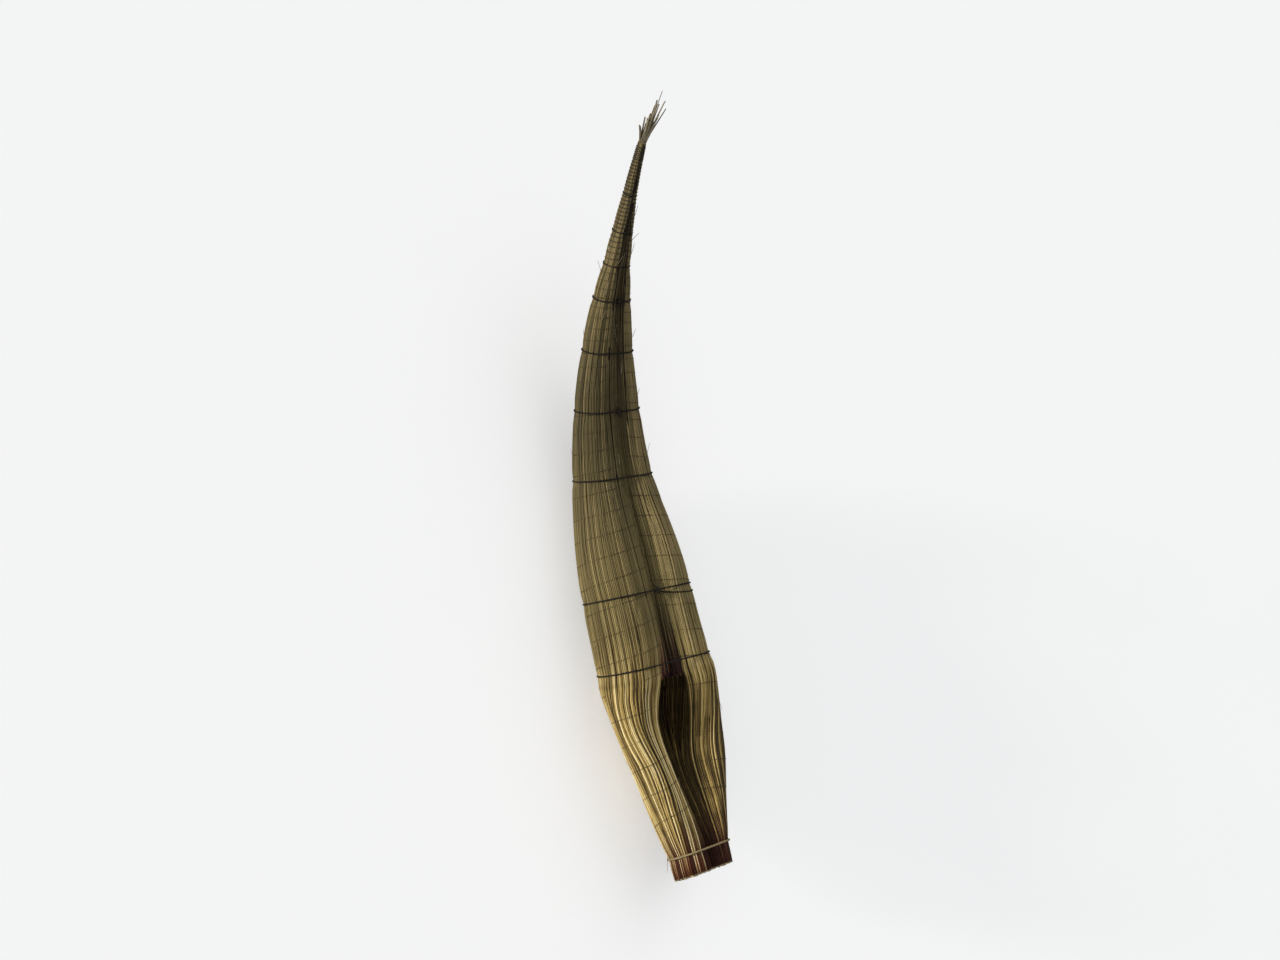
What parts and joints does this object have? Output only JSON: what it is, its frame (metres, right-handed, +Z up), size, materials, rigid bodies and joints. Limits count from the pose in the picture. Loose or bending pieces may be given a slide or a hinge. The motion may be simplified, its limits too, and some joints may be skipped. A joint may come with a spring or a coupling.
{
  "type": "reed boat",
  "caption": "Slender reed boat of lashed bundles, with a cut stern, an open cockpit trough and a bow that rises to a whipped tip and a straw tuft.",
  "frame": {"origin": "under the middle of the boat's box, on the surface that it lies on", "axes": "+X to the bow, +Y to port, +Z up from the deck"},
  "size_m": [4.3496, 0.7538, 1.3981],
  "materials": {
    "reed_bundle": "dry reed, matte",
    "reed_son": "dry reed, matte",
    "girth_rope": "dark twisted rope",
    "straw_rope": "light twisted rope",
    "thin_cord": "brown thin cord",
    "straw": "dry straw"
  },
  "bodies": {
    "root": {"mother_bundle_port": "reed_bundle", "mother_bundle_starboard": "reed_bundle", "son_bundle_port": "reed_son", "son_bundle_starboard": "reed_son", "stern_tie": "straw_rope", "bow_whipping": "thin_cord", "bow_tuft": "straw", "girth_rope_1": "girth_rope", "girth_rope_2": "girth_rope", "girth_rope_3": "girth_rope", "girth_rope_4": "girth_rope", "girth_rope_5": "girth_rope", "girth_rope_6": "girth_rope", "girth_rope_7": "girth_rope", "girth_rope_8": "girth_rope", "girth_rope_9": "girth_rope"}
  },
  "joints": []
}
